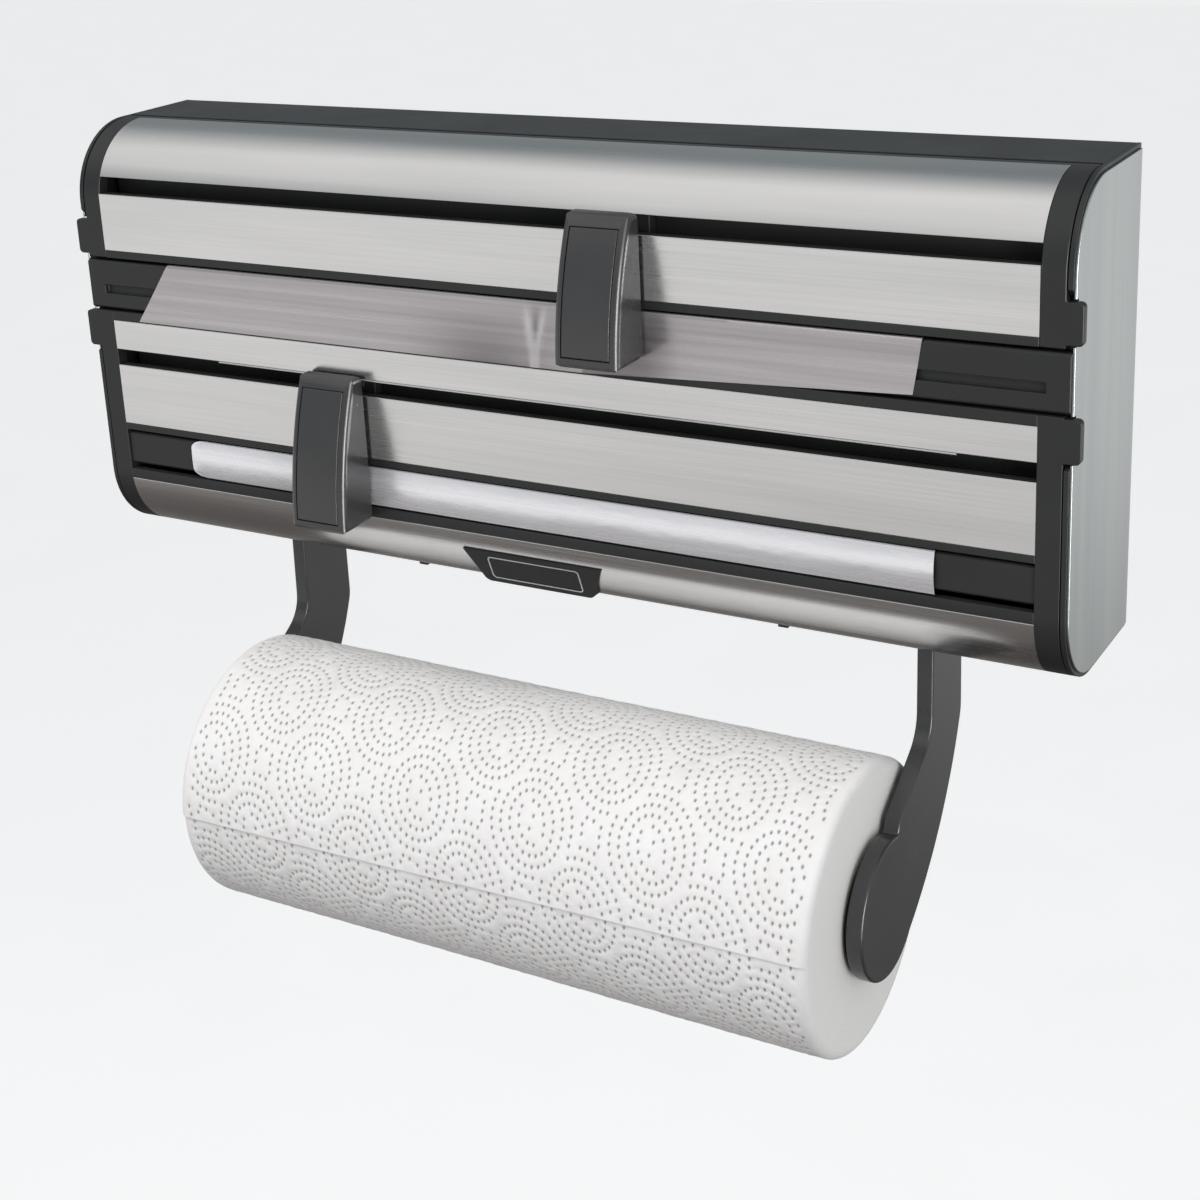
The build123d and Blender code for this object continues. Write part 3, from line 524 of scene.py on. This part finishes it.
# ---------------------------------------------------------------- kitchen roll
PAPER_LAYER = 1.0 * MM              # step at the free edge of the outer sheet
EDGE_ANGLE = (2.0, 6.5)             # degrees above the front at which the free edge lies
SHOULDER = 3.0 * MM
OVALS_ROUND = 6                     # ovals in one turn of the roll
OVAL_PITCH = 46.0 * MM              # along the roll
OVAL_HALF = (15.3 * MM, 19.3 * MM)  # outer ring: across and along the oval
OVAL_TILT = math.radians(24.0)      # the ovals lean to the left
OVAL_STEP = 3.8 * MM                # between the rings outside it
INNER_RINGS = (
    (1.3 * MM, 3.9 * MM),
    (4.8 * MM, 7.9 * MM),
    (8.3 * MM, 11.7 * MM),
    (11.8 * MM, 15.5 * MM),
)
DOT_SPACING = 3.0 * MM
DOT_HALF = (0.72 * MM, 1.15 * MM)
DOT_DEPTH = 0.5 * MM
DOT_RIM = 6                 # points round a dot's rim and round its floor
DOT_FLOOR = 3
DOT_FLOOR_SHARE = 0.42      # of the rim's size
DOT_GAP = 0.78 * DOT_SPACING        # the least between two dots
DOT_CLEAR = 1.75 * MM       # the least between a dot and the plain paper's points
EDGE_MARGIN = (1.2 * MM, 1.4 * MM)  # free of dots, at the ends and at the sheet's own edges
OUTER_RINGS = 4
SHOULDER_STEPS = 6
CUT_RINGS = 9               # from the shoulder in to the core
PAPER_INSET = 0.3 * MM
UNEVEN = 0.12 * MM          # how far the winding wanders from round
PILLOW = 0.14 * MM          # how far the paper stands up between the dots
BOUNDARY_STEP = 2.0 * MM
FILL_STEP = 2.3 * MM


def ring_points(centre, half):
    """Evenly spaced dots on an oval."""
    root = math.sqrt((3 * half[0] + half[1]) * (half[0] + 3 * half[1]))
    around = math.pi * (3 * sum(half) - root)
    count = max(4, round(around / DOT_SPACING))
    for k in range(count):
        turn = 2 * math.pi * (k + 0.5) / count
        across = half[0] * math.cos(turn)
        lengthwise = half[1] * math.sin(turn)
        x = across * math.cos(OVAL_TILT) - lengthwise * math.sin(OVAL_TILT)
        s = across * math.sin(OVAL_TILT) + lengthwise * math.cos(OVAL_TILT)
        yield centre[0] + x, centre[1] + s


def oval_distance(x, s, centre):
    x -= centre[0]
    s -= centre[1]
    across = x * math.cos(OVAL_TILT) + s * math.sin(OVAL_TILT)
    lengthwise = s * math.cos(OVAL_TILT) - x * math.sin(OVAL_TILT)
    return math.hypot(across / OVAL_HALF[0], lengthwise / OVAL_HALF[1])


class Spread:
    """Keeps points that are at least `gap` from every point kept before."""

    def __init__(self, gap):
        self.gap = gap
        self.cells = {}

    def is_free(self, x, s):
        column, row = int(x // self.gap), int(s // self.gap)
        for i in (column - 1, column, column + 1):
            for j in (row - 1, row, row + 1):
                for other in self.cells.get((i, j), ()):
                    if math.hypot(other[0] - x, other[1] - s) < self.gap:
                        return False
        return True

    def keep(self, x, s):
        self.cells.setdefault((int(x // self.gap), int(s // self.gap)), []).append((x, s))


def embossed_dots(half_length, around):
    """Dots of rings of ovals on the unrolled sheet, X from -half_length, S from 0 to around."""
    pitch_s = around / OVALS_ROUND
    centres = []
    for row in range(-2, 2 * OVALS_ROUND + 3):
        for column in range(-4, 5):
            shift = 0.5 * OVAL_PITCH * (row % 2)
            centres.append((column * OVAL_PITCH + shift, row * pitch_s / 2))
    taken = Spread(DOT_GAP)
    dots = []
    rings = [*INNER_RINGS, OVAL_HALF]
    for step in range(1, OUTER_RINGS + 1):
        rings.append(tuple(h + step * OVAL_STEP for h in OVAL_HALF))
    for half in rings:
        reach = 2.6 * math.hypot(*half) + 60 * MM
        for centre in centres:
            near = [c for c in centres if c != centre and math.dist(c, centre) < reach]
            for x, s in ring_points(centre, half):
                if abs(x) > half_length - EDGE_MARGIN[0]:
                    continue
                if not EDGE_MARGIN[1] < s < around - EDGE_MARGIN[1]:
                    continue
                own = oval_distance(x, s, centre)
                if any(oval_distance(x, s, c) < own + 0.02 for c in near):
                    continue
                if taken.is_free(x, s):
                    taken.keep(x, s)
                    dots.append((x, s))
    return dots


def make_kitchen_roll():
    low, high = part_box("kitchen_roll_paper")
    core_low, core_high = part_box("kitchen_roll_core")
    axis_y = (core_low.y + core_high.y) / 2
    axis_z = (core_low.z + core_high.z) / 2
    core_radius = (core_high.z - core_low.z) / 2
    radius = axis_y - low.y
    around = 2 * math.pi * radius
    half = high.x - SHOULDER

    flat = []
    depth = []
    columns = round(2 * half / BOUNDARY_STEP)
    rows = round(around / BOUNDARY_STEP)
    taken = Spread(DOT_CLEAR)

    def add(x, s, sunk):
        flat.append(Vector((x, s)))
        depth.append(sunk)

    for k in range(rows + 1):
        for side in (-1, 1):
            add(side * half, around * k / rows, 0.0)
    for k in range(1, columns):
        for s in (0.0, around):
            add(along(-half, half, k / columns), s, 0.0)
    for x, s in embossed_dots(half, around):
        taken.keep(x, s)
        for share, count, sunk in ((1.0, DOT_RIM, 0.0), (DOT_FLOOR_SHARE, DOT_FLOOR, DOT_DEPTH)):
            for k in range(count):
                turn = 2 * math.pi * (k + 0.25) / count
                add(
                    x + share * DOT_HALF[0] * math.cos(turn),
                    s + share * DOT_HALF[1] * math.sin(turn),
                    sunk,
                )
    for j in range(1, int(around / FILL_STEP)):
        for i in range(1, int(2 * half / FILL_STEP)):
            x = -half + (i + 0.5 * (j % 2)) * FILL_STEP
            s = j * FILL_STEP
            if x < half - MM and s < around - MM and taken.is_free(x, s):
                add(x, s, -PILLOW)

    made = delaunay_2d_cdt(flat, [], [], 0, 1e-7)
    sheet = np.array([(p.x, p.y) for p in made[0]])
    sunk = np.array([depth[source[0]] for source in made[3]])
    faces = [list(f) for f in made[2]]

    def place(x, s, inward):
        """Winds points of the unrolled sheet round the roll."""
        start = np.radians(along(EDGE_ANGLE[0], EDGE_ANGLE[1], (x + half) / (2 * half)))
        turn = start + s / radius
        uneven = UNEVEN * (np.sin(3 * turn + x / (55 * MM)) + np.sin(x / (33 * MM) - 2 * turn))
        r = radius - PAPER_INSET - uneven - PAPER_LAYER * s / around - inward
        return np.stack([x, axis_y - r * np.cos(turn), axis_z + r * np.sin(turn)], axis=-1)

    points = [tuple(p) for p in place(sheet[:, 0], sheet[:, 1], sunk)]

    def on_sheet(x, s):
        return int(np.argmin((sheet[:, 0] - x) ** 2 + (sheet[:, 1] - s) ** 2))

    free_edge = [on_sheet(along(-half, half, k / columns), 0.0) for k in range(columns + 1)]
    under_edge = [on_sheet(along(-half, half, k / columns), around) for k in range(columns + 1)]
    for k in range(columns):
        faces.append([free_edge[k], free_edge[k + 1], under_edge[k + 1], under_edge[k]])

    cut_faces = []
    rim_radius = radius - SHOULDER - PAPER_INSET
    inner_rings = []
    for side in (-1, 1):
        ring = [on_sheet(side * half, around * k / rows) for k in range(rows + 1)]
        edge = np.array([points[i] for i in ring])
        spokes = edge[:, 1:] - np.array([axis_y, axis_z])
        edge_radius = np.linalg.norm(spokes, axis=1)
        spokes = spokes / edge_radius[:, None]
        levels = []
        for k in range(1, SHOULDER_STEPS + 1):
            turn = k / SHOULDER_STEPS * math.pi / 2
            r = edge_radius - SHOULDER * (1 - math.cos(turn))
            levels.append((SHOULDER * math.sin(turn), r, False))
        for k in range(1, CUT_RINGS + 1):
            wound = (edge_radius - edge_radius.mean()) * (1 - k / CUT_RINGS)
            levels.append((SHOULDER, along(rim_radius, core_radius, k / CUT_RINGS) + wound, True))
        for out, r, is_cut in levels:
            new = list(range(len(points), len(points) + rows + 1))
            places = np.array([axis_y, axis_z]) + spokes * np.broadcast_to(r, edge_radius.shape)[:, None]
            points += [(side * (half + out), y, z) for y, z in places]
            target = cut_faces if is_cut else faces
            for k in range(rows):
                target.append([ring[k], ring[k + 1], new[k + 1], new[k]])
            target.append([ring[0], new[0], new[rows], ring[rows]])
            ring = new
        inner_rings.append(ring)
    for k in range(rows):
        pair = [ring[i] for ring, i in zip(inner_rings * 2, (k, k, k + 1, k + 1))]
        cut_faces.append([pair[0], pair[1], pair[3], pair[2]])

    mesh = bpy.data.meshes.new("kitchen_roll_mesh")
    mesh.from_pydata(points, [], faces + cut_faces)
    mesh.materials.append(PAPER)
    kinds = np.zeros(len(mesh.polygons), dtype=np.int32)
    kinds[len(faces):] = 1
    mesh.polygons.foreach_set("material_index", kinds)
    bm = bmesh.new()
    bm.from_mesh(mesh)
    bmesh.ops.remove_doubles(bm, verts=bm.verts, dist=0.001 * MM)
    bmesh.ops.recalc_face_normals(bm, faces=bm.faces)
    kinds = [f.material_index for f in bm.faces]
    bm.to_mesh(mesh)
    bm.free()
    shade(mesh, 62.0)
    # painted shade for the pits: 1 at a pit's floor, read by the paper's material
    pits = np.zeros(len(mesh.vertices), dtype=np.float32)
    pits[: len(sunk)] = np.clip(sunk / DOT_DEPTH, 0, 1)
    pit_shade = mesh.attributes.new("pit_shade", "FLOAT", "POINT")
    pit_shade.data.foreach_set("value", pits)
    stand_for("kitchen_roll_paper", "kitchen_roll", mesh, PAPER)
    mesh.materials.append(cut_paper_edge("paper_edge", axis_y, axis_z))
    mesh.polygons.foreach_set("material_index", np.array(kinds, dtype=np.int32))


# ---------------------------------------------------------------- outline on the blank badge
OUTLINE_SHARE = (0.66, 0.70)        # of the badge's width and of its front's height
OUTLINE_WIDTH = 0.5 * MM
OUTLINE_RAISE = 0.12 * MM
OUTLINE_CORNER = 1.6 * MM
OUTLINE_STEPS = 6                   # round each corner


def make_badge_outline():
    """A plain rounded frame, raised a hair, on the badge's sloping front."""
    low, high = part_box("blank_badge")
    corners = [NODES["blank_badge"].matrix_world @ v.co for v in NODES["blank_badge"].data.vertices]
    foot_y = min(c.y for c in corners if c.z < low.z + 0.2 * MM)
    top = Vector((0, low.y, high.z))
    foot = Vector((0, foot_y, low.z))
    slope = (top - foot).normalized()
    outward = Vector((0, -slope.z, slope.y))
    centre = (top + foot) / 2 + Vector(((low.x + high.x) / 2, 0, 0))
    half_x = (high.x - low.x) / 2 * OUTLINE_SHARE[0]
    half_s = (top - foot).length / 2 * OUTLINE_SHARE[1]
    rings = []
    for inset, raised in ((0, -1), (0, 1), (OUTLINE_WIDTH, 1), (OUTLINE_WIDTH, -1)):
        radius = OUTLINE_CORNER - inset
        ring = []
        for quarter in range(4):
            side_x = (1, -1, -1, 1)[quarter]
            side_s = (1, 1, -1, -1)[quarter]
            for k in range(OUTLINE_STEPS + 1):
                turn = (quarter + k / OUTLINE_STEPS) * math.pi / 2
                x = side_x * (half_x - OUTLINE_CORNER) + radius * math.cos(turn)
                s = side_s * (half_s - OUTLINE_CORNER) + radius * math.sin(turn)
                ring.append(centre + Vector((x, 0, 0)) + slope * s + outward * raised * OUTLINE_RAISE)
        rings.append(ring)
    count = len(rings[0])
    faces = []
    for level in range(len(rings)):
        for k in range(count):
            here = level * count
            beyond = (level + 1) % len(rings) * count
            following = (k + 1) % count
            faces.append([here + k, here + following, beyond + following, beyond + k])
    mesh = mesh_from("badge_outline_mesh", [p for ring in rings for p in ring], faces)
    link("badge_outline", mesh, PIN_STEEL, BODY_OF["blank_badge"])


# ---------------------------------------------------------------- the pieces
make_film_tail()
make_foil_tail()
make_kitchen_roll()
make_badge_outline()

SOFT_EDGE = 0.3             # rounding in mm, where a node has no entry of its own
SOFT_EDGES = {
    "left_arm": 0.9,
    "right_arm": 0.9,
    "upper_cutter_shell": 0.5,
    "lower_cutter_shell": 0.5,
    "upper_flap_left_frame": 0.55,
    "upper_flap_right_frame": 0.55,
    "lower_flap_left_frame": 0.55,
    "lower_flap_right_frame": 0.55,
    "upper_cutter_blade": 0.0,
    "lower_cutter_blade": 0.0,
    "left_side_panel": 0.2,
    "right_side_panel": 0.2,
}
OWN_MESH = {"film_tail", "foil_tail", "kitchen_roll_paper"}
for node in sorted(NODES):
    if node not in OWN_MESH:
        finish = BADGE_BLACK if node == "blank_badge" else None
        refine(node, SOFT_EDGES.get(node, SOFT_EDGE), finish, SLOT_OF[node] == "band_steel")


# ---------------------------------------------------------------- camera
VIEW_AZIMUTH = math.radians(31.63)
VIEW_ELEVATION = math.radians(18.07)
VIEW_ROLL = math.radians(-3.25)
AIM = Vector((-0.0034, -0.0454, -0.0229))
DISTANCE = 0.7425
LENS = 62.6
SHIFT_X = 0.045
SHIFT_Y = -0.14

back = Vector(
    (
        math.sin(VIEW_AZIMUTH) * math.cos(VIEW_ELEVATION),
        -math.cos(VIEW_AZIMUTH) * math.cos(VIEW_ELEVATION),
        math.sin(VIEW_ELEVATION),
    )
)
right = (-back).cross(Vector((0, 0, 1))).normalized()
up = right.cross(-back)
tilted_right = right * math.cos(VIEW_ROLL) + up * math.sin(VIEW_ROLL)
tilted_up = up * math.cos(VIEW_ROLL) - right * math.sin(VIEW_ROLL)
camera = bpy.data.objects.new("camera", bpy.data.cameras.new("camera"))
bpy.context.scene.collection.objects.link(camera)
turn = Matrix((tilted_right, tilted_up, back)).transposed().to_4x4()
camera.matrix_world = Matrix.Translation(AIM + back * DISTANCE) @ turn
camera.data.lens = LENS
camera.data.sensor_width = 36.0
camera.data.shift_x = SHIFT_X
camera.data.shift_y = SHIFT_Y
camera.data.clip_start = 0.01
camera.data.clip_end = 50.0
bpy.context.scene.camera = camera
bpy.context.scene.view_settings.view_transform = "Standard"


# ---------------------------------------------------------------- floor and light
FLOOR_DROP = 1.6           # below the object's lowest point
FLOOR_SIZE = 30.0


def make_floor():
    bpy.ops.mesh.primitive_plane_add(size=FLOOR_SIZE, location=(0, 0, cad_box[0].z - FLOOR_DROP))
    floor = bpy.context.object
    floor.name = "floor"
    mat = new_material("pale_floor", (0.9, 0.9, 0.9), 0.0, 0.8, Emission_Strength=0.3)
    mat.node_tree.nodes["Principled BSDF"].inputs["Emission Color"].default_value = (1, 1, 1, 1)
    mottle = texture(mat, "ShaderNodeTexNoise", (3.0,) * 3, Detail=2.0)
    drive(mat, "Base Color", blend_colours(mat, mottle, (0.95, 0.95, 0.95), (0.97, 0.97, 0.97)))
    floor.data.materials.append(mat)
    floor.visible_diffuse = False
    floor.visible_glossy = False


def area_light(name, place, target, size, power):
    light = bpy.data.lights.new(name, "AREA")
    light.shape = "RECTANGLE"
    light.size, light.size_y = size
    light.energy = power
    lamp = bpy.data.objects.new(name, light)
    bpy.context.scene.collection.objects.link(lamp)
    lamp.location = place
    lamp.rotation_euler = (Vector(target) - Vector(place)).to_track_quat("-Z", "Y").to_euler()
    lamp.visible_camera = False
    return lamp


# Share of the way up from straight below (0) to straight above (1), and the colour there.
WORLD_BANDS = (
    (0.25, (0.22, 0.205, 0.20)),
    (0.34, (0.95, 0.95, 0.95)),
    (0.44, (0.95, 0.95, 0.95)),
    (0.53, (0.42, 0.45, 0.47)),
    (0.66, (0.30, 0.33, 0.35)),
    (0.78, (0.9, 0.9, 0.9)),
)

WORLD_BELOW = (0.06, 0.052, 0.05)
WORLD_ABOVE = (1.0, 1.0, 1.0)
WORLD_BEHIND = (0.26, 0.29, 0.305)      # the dim part of the studio behind and above
BEHIND_Y = (-0.1, 0.5)                  # direction's Y and Z over which that part fades in
BEHIND_Z = (0.0, 0.15)
WORLD_STRENGTH = 0.9


def make_world():
    """White overhead, a bluish grey band over the horizon, dark straight below, dim behind."""
    world = bpy.data.worlds.new("studio")
    bpy.context.scene.world = world
    world.use_nodes = True
    tree = world.node_tree
    place = tree.nodes.new("ShaderNodeTexCoord")
    split = tree.nodes.new("ShaderNodeSeparateXYZ")
    ramp = tree.nodes.new("ShaderNodeValToRGB")
    height = tree.nodes.new("ShaderNodeMapRange")
    height.inputs["From Min"].default_value = -1.0
    height.inputs["From Max"].default_value = 1.0
    tree.links.new(place.outputs["Generated"], split.inputs["Vector"])
    tree.links.new(split.outputs["Z"], height.inputs["Value"])
    tree.links.new(height.outputs["Result"], ramp.inputs["Fac"])
    stops = ramp.color_ramp.elements
    stops[0].position = 0.0
    stops[0].color = (*WORLD_BELOW, 1)
    stops[1].position = 1.0
    stops[1].color = (*WORLD_ABOVE, 1)
    for position, colour in WORLD_BANDS:
        stop = stops.new(position)
        stop.color = (*colour, 1)
    behind = tree.nodes.new("ShaderNodeMapRange")
    behind.inputs["From Min"].default_value = BEHIND_Y[0]
    behind.inputs["From Max"].default_value = BEHIND_Y[1]
    above = tree.nodes.new("ShaderNodeMapRange")
    above.inputs["From Min"].default_value = BEHIND_Z[0]
    above.inputs["From Max"].default_value = BEHIND_Z[1]
    both = tree.nodes.new("ShaderNodeMath")
    both.operation = "MULTIPLY"
    tree.links.new(split.outputs["Y"], behind.inputs["Value"])
    tree.links.new(split.outputs["Z"], above.inputs["Value"])
    tree.links.new(behind.outputs["Result"], both.inputs[0])
    tree.links.new(above.outputs["Result"], both.inputs[1])
    shaded = tree.nodes.new("ShaderNodeMix")
    shaded.data_type = "RGBA"
    tree.links.new(both.outputs["Value"], shaded.inputs["Factor"])
    tree.links.new(ramp.outputs["Color"], shaded.inputs["A"])
    shaded.inputs["B"].default_value = (*WORLD_BEHIND, 1)
    tree.links.new(shaded.outputs["Result"], tree.nodes["Background"].inputs["Color"])
    tree.nodes["Background"].inputs["Strength"].default_value = WORLD_STRENGTH


make_floor()
make_world()
key = area_light("key", place=(-0.9, -1.1, 1.3), target=(0, 0, -0.05), size=(1.2, 0.9), power=18.0)
key.visible_glossy = False
area_light("fill", place=(1.4, -1.0, 0.3), target=(0, 0, -0.05), size=(0.8, 1.2), power=9.0)
edge = area_light("edge", place=(1.1, -0.75, -0.12), target=(0, -0.08, 0.0), size=(0.42, 0.9), power=20.0)
edge.visible_diffuse = False
